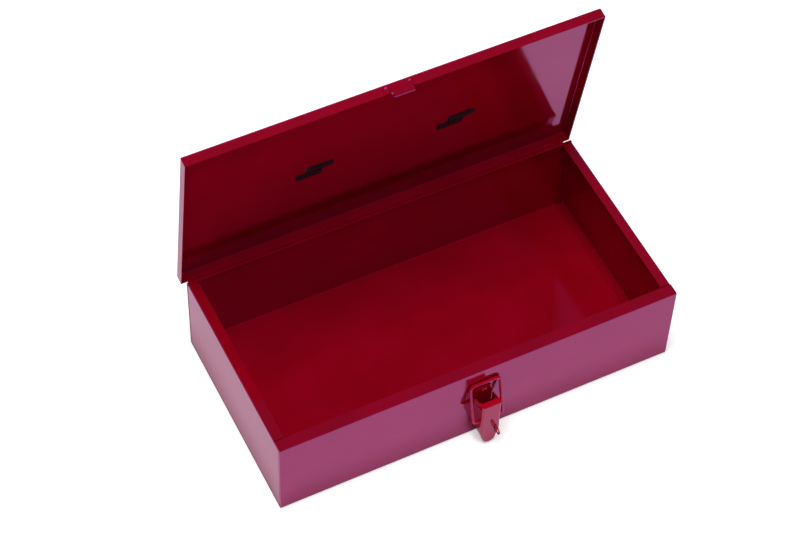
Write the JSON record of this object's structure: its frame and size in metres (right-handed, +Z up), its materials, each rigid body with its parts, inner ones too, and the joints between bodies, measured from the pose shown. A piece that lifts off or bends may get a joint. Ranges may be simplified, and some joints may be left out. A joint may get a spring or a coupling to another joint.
{
  "type": "metal tool case",
  "caption": "Folded sheet-steel case with a shallow piano-hinged lid standing open, a toggle latch with wire bail, padlock ear and strike, and a folding handle on the lid.",
  "frame": {"origin": "centre of the case's flat base, on the surface that it stands on", "axes": "+X along the front to the right, +Y from the front wall to the hinged back, +Z up"},
  "size_m": [0.457, 0.2854, 0.3359],
  "materials": {
    "red_paint": "gloss",
    "bare_steel": "satin",
    "plated_steel": "satin",
    "black_steel": "satin",
    "black_plastic": "matte"
  },
  "bodies": {
    "case": {"case_wrap": "red_paint", "end_panel_left": "red_paint", "end_panel_right": "red_paint", "hinge_case_leaf": "red_paint", "hinge_pin": "bare_steel", "latch_base": "red_paint", "latch_base_rivets": "red_paint", "latch_lever_pin": "red_paint"},
    "lid": {"lid_shell": "red_paint", "hinge_lid_leaf": "red_paint", "strike_plate": "red_paint", "strike_rivets": "red_paint", "handle_bracket_left": "black_steel", "handle_bracket_right": "black_steel"},
    "lever": {"latch_lever": "red_paint"},
    "bail": {"latch_bail": "red_paint"},
    "handle": {"handle_rod": "plated_steel", "handle_grip": "black_plastic"}
  },
  "joints": [
    {"name": "lid_hinge", "type": "hinge", "parent": "case", "child": "lid", "pos_m": [0, 0.1189, 0.0935], "axis": [-1, 0, 0], "range_deg": [-81, 24]},
    {"name": "lever_pivot", "type": "hinge", "parent": "case", "child": "lever", "pos_m": [0.0025, -0.127, 0.06], "axis": [-1, 0, 0], "range_deg": [0, 110]},
    {"name": "bail_pivot", "type": "hinge", "parent": "lever", "child": "bail", "pos_m": [0.0025, -0.1275, 0.038], "axis": [1, 0, 0], "range_deg": [0, 110]},
    {"name": "handle_pivot", "type": "hinge", "parent": "lid", "child": "handle", "pos_m": [0, 0.12501, 0.21536], "axis": [1, 0, 0], "range_deg": [0, 180]}
  ],
  "couplings": [
    {"joint": "bail_pivot", "follows": "lever_pivot", "ratio": 1}
  ]
}
